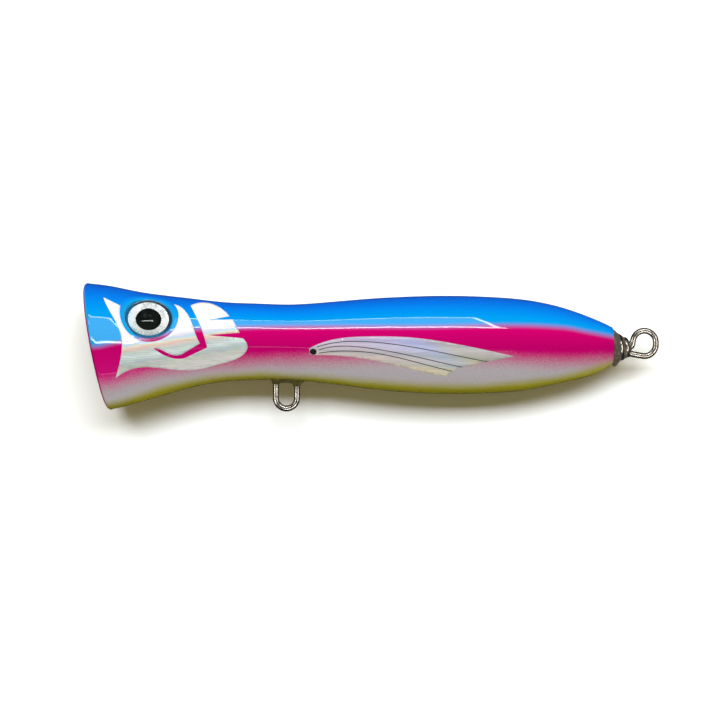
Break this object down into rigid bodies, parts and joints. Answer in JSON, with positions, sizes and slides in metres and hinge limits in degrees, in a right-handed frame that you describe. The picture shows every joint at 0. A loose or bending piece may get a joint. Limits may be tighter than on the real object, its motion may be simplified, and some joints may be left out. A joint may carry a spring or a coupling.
{
  "type": "topwater popper",
  "caption": "Large popper lure with a cupped mouth, slim waist and tapered tail, through-wire tie and tail eyes, a belly hanger loop, foil side panels and domed eyes.",
  "frame": {"origin": "centre of the line-tie eye in the cup, on the line of the through wire", "axes": "+X along the through wire to the tail, +Z to the lure's back, +Y to its right flank"},
  "size_m": [0.1723, 0.0378, 0.0383],
  "materials": {
    "body_wood": "sealed and painted softwood",
    "stainless_wire": "drawn bright wire",
    "bedding_epoxy": "cured thickened epoxy",
    "ballast_lead": "cast lead",
    "iris_film": "silver prism film",
    "black_dot": "gloss black",
    "clear_resin": "clear cast resin",
    "holographic_foil": "brushed holographic foil under coat",
    "paint_and_coat": "airbrushed paint under thick clear epoxy"
  },
  "bodies": {
    "root": {"wood_left": "body_wood", "wood_right": "body_wood", "through_wire": "stainless_wire", "belly_hanger": "stainless_wire", "wire_bedding": "bedding_epoxy", "hanger_bedding": "bedding_epoxy", "nose_plug": "bedding_epoxy", "tail_plug": "bedding_epoxy", "ballast_belly": "ballast_lead", "ballast_tail": "ballast_lead", "eye_film_left": "iris_film", "eye_film_right": "iris_film", "eye_pupil_left": "black_dot", "eye_pupil_right": "black_dot", "eye_dome_left": "clear_resin", "eye_dome_right": "clear_resin", "foil_head_left": "holographic_foil", "foil_head_right": "holographic_foil", "foil_fin_left": "holographic_foil", "foil_fin_right": "holographic_foil", "fin_dot_left": "black_dot", "fin_dot_right": "black_dot", "clear_coat": "paint_and_coat"}
  },
  "joints": []
}
